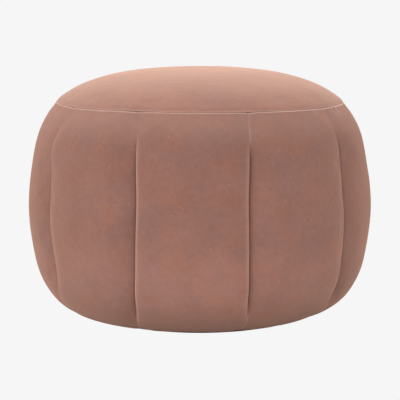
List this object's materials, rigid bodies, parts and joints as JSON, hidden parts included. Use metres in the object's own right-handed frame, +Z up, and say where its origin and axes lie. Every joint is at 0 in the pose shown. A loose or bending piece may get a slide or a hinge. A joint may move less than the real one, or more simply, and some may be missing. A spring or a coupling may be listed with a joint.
{
  "type": "round footstool",
  "caption": "Low round upholstered stool in velvet: a domed top sewn to a full, bulging side of padded panels, on a flat base.",
  "frame": {"origin": "centre of the flat base, on the surface the stool stands on", "axes": "+Z up through the middle of the stool; -Y towards the side shown in the picture, +X to its right"},
  "size_m": [0.5465, 0.5528, 0.3998],
  "materials": {
    "top_velvet": "dusty rose velvet, matt with a pale sheen at grazing angles",
    "side_velvet": "dusty rose velvet, matt with a pale sheen at grazing angles",
    "base_cloth": "plain matt cloth"
  },
  "bodies": {
    "root": {"top_panel": "top_velvet", "side_panel_01": "side_velvet", "side_panel_02": "side_velvet", "side_panel_03": "side_velvet", "side_panel_04": "side_velvet", "side_panel_05": "side_velvet", "side_panel_06": "side_velvet", "side_panel_07": "side_velvet", "side_panel_08": "side_velvet", "side_panel_09": "side_velvet", "side_panel_10": "side_velvet", "base_panel": "base_cloth"}
  },
  "joints": []
}
